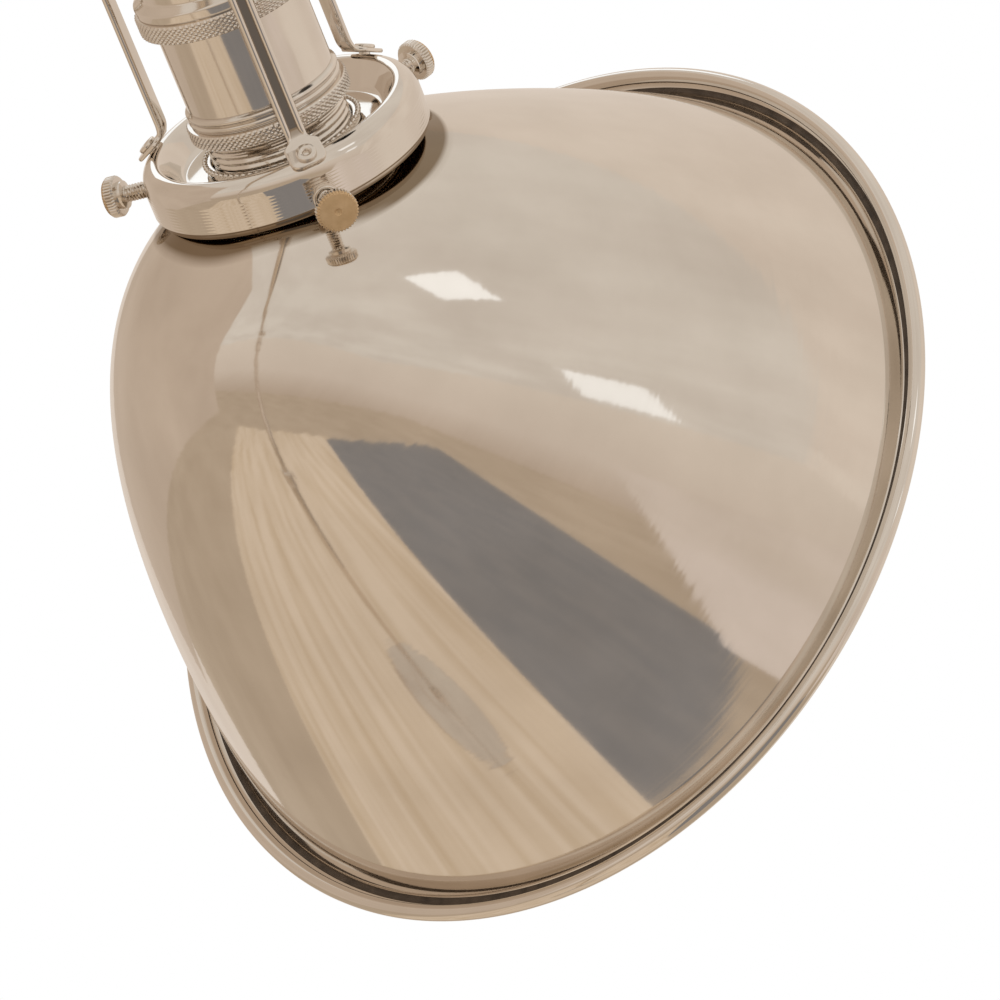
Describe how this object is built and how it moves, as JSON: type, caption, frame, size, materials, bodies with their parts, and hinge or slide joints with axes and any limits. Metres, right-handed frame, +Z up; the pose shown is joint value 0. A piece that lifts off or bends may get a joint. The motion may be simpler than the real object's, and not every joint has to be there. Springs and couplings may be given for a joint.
{
  "type": "pharmacy floor lamp",
  "caption": "Floor lamp with a weighted round base, telescoping column, jointed arm and a tilting angled dome shade in a three-leg holder.",
  "frame": {"origin": "on the floor at the middle of the base, on the column's axis", "axes": "+Z up along the column, +X along the arm towards the head, +Y to the side"},
  "size_m": [0.7554, 0.28, 1.2407],
  "materials": {
    "nickel": "polished nickel plate, warm",
    "brass": "machined, unplated",
    "cast_iron": "as cast",
    "felt": "pressed felt",
    "phenolic": "moulded phenolic",
    "porcelain": "glazed",
    "bulb_glass": "frosted white",
    "vinyl": "flexible lead jacket"
  },
  "bodies": {
    "base": {"base_cover": "nickel", "base_weight": "cast_iron", "base_felt": "felt", "cord_bushing": "phenolic", "base_lead": "vinyl", "base_lock_nut": "brass", "column_nipple": "brass", "column_foot": "nickel", "outer_column": "nickel", "column_collar": "nickel"},
    "column_screw": {"column_screw": "nickel"},
    "pole": {"inner_pole": "nickel", "pole_bush": "phenolic", "pole_lead": "vinyl", "swivel_post": "nickel"},
    "arm_fork": {"arm_fork": "nickel", "arm_bolt": "nickel"},
    "arm_knob": {"arm_knob": "nickel"},
    "arm": {"arm_tongue": "nickel", "arm_tube": "nickel", "arm_lead": "vinyl", "arm_end_collar": "nickel"},
    "knuckle": {"knuckle_fork": "nickel", "knuckle_bolt": "nickel"},
    "knuckle_knob": {"knuckle_knob": "nickel"},
    "head": {"head_coupling": "nickel", "head_nipple": "brass", "spider_hub": "nickel", "holder_ring": "nickel", "upper_ring_nut": "nickel", "lower_ring_nut": "brass", "holder_leg_1": "nickel", "holder_leg_2": "nickel", "holder_leg_3": "nickel", "hub_rivet_1": "nickel", "hub_rivet_2": "nickel", "hub_rivet_3": "nickel", "foot_rivet_1": "nickel", "foot_rivet_2": "nickel", "foot_rivet_3": "nickel", "socket_cap": "nickel", "socket_shell": "nickel", "socket_insulator": "porcelain", "screw_shell": "brass", "centre_contact": "brass", "switch_body": "phenolic", "bulb_cap": "brass", "bulb_glass": "bulb_glass"},
    "switch_knob": {"switch_knob": "phenolic"},
    "thumb_screw_1": {"thumb_screw_1": "nickel"},
    "thumb_screw_2": {"thumb_screw_2": "nickel"},
    "thumb_screw_3": {"thumb_screw_3": "nickel"},
    "shade": {"shade": "nickel"}
  },
  "joints": [
    {"name": "column_height", "type": "slide", "parent": "base", "child": "pole", "axis": [0, 0, 1], "range_m": [-0.3, 0.17]},
    {"name": "column_screw_turn", "type": "hinge", "parent": "base", "child": "column_screw", "pos_m": [0, 0, 0.771], "axis": [0, -1, 0], "range_deg": [-10, 350]},
    {"name": "arm_swivel", "type": "hinge", "parent": "pole", "child": "arm_fork", "pos_m": [0, 0, 1.23], "axis": [0, 0, 1], "range_deg": [-170, 170]},
    {"name": "arm_pitch", "type": "hinge", "parent": "arm_fork", "child": "arm", "pos_m": [0, 0, 1.23], "axis": [0, 1, 0], "range_deg": [-55, 30]},
    {"name": "arm_knob_turn", "type": "hinge", "parent": "arm_fork", "child": "arm_knob", "pos_m": [0, 0, 1.23], "axis": [0, -1, 0], "range_deg": [-10, 350]},
    {"name": "head_roll", "type": "hinge", "parent": "arm", "child": "knuckle", "pos_m": [0.424, 0, 1.23], "axis": [1, 0, 0], "range_deg": [-90, 90]},
    {"name": "head_tilt", "type": "hinge", "parent": "knuckle", "child": "head", "pos_m": [0.424, 0, 1.23], "axis": [0, 1, 0], "range_deg": [-60, 45]},
    {"name": "knuckle_knob_turn", "type": "hinge", "parent": "knuckle", "child": "knuckle_knob", "pos_m": [0.424, 0, 1.23], "axis": [0, -1, 0], "range_deg": [-10, 350]},
    {"name": "shade_turn", "type": "hinge", "parent": "head", "child": "shade", "pos_m": [0.47, 0, 1.15033], "axis": [0.5, 0, -0.866], "continuous": true},
    {"name": "switch_turn", "type": "hinge", "parent": "head", "child": "switch_knob", "pos_m": [0.447, 0, 1.19016], "axis": [0.433, -0.866, 0.25], "continuous": true},
    {"name": "thumb_screw_1_slide", "type": "slide", "parent": "head", "child": "thumb_screw_1", "axis": [0.862, -0.0958, 0.4977], "range_m": [0, 0.003]},
    {"name": "thumb_screw_2_slide", "type": "slide", "parent": "head", "child": "thumb_screw_2", "axis": [-0.3591, 0.91, -0.2073], "range_m": [0, 0.003]},
    {"name": "thumb_screw_3_slide", "type": "slide", "parent": "head", "child": "thumb_screw_3", "axis": [-0.5029, -0.8141, -0.2904], "range_m": [0, 0.003]}
  ]
}
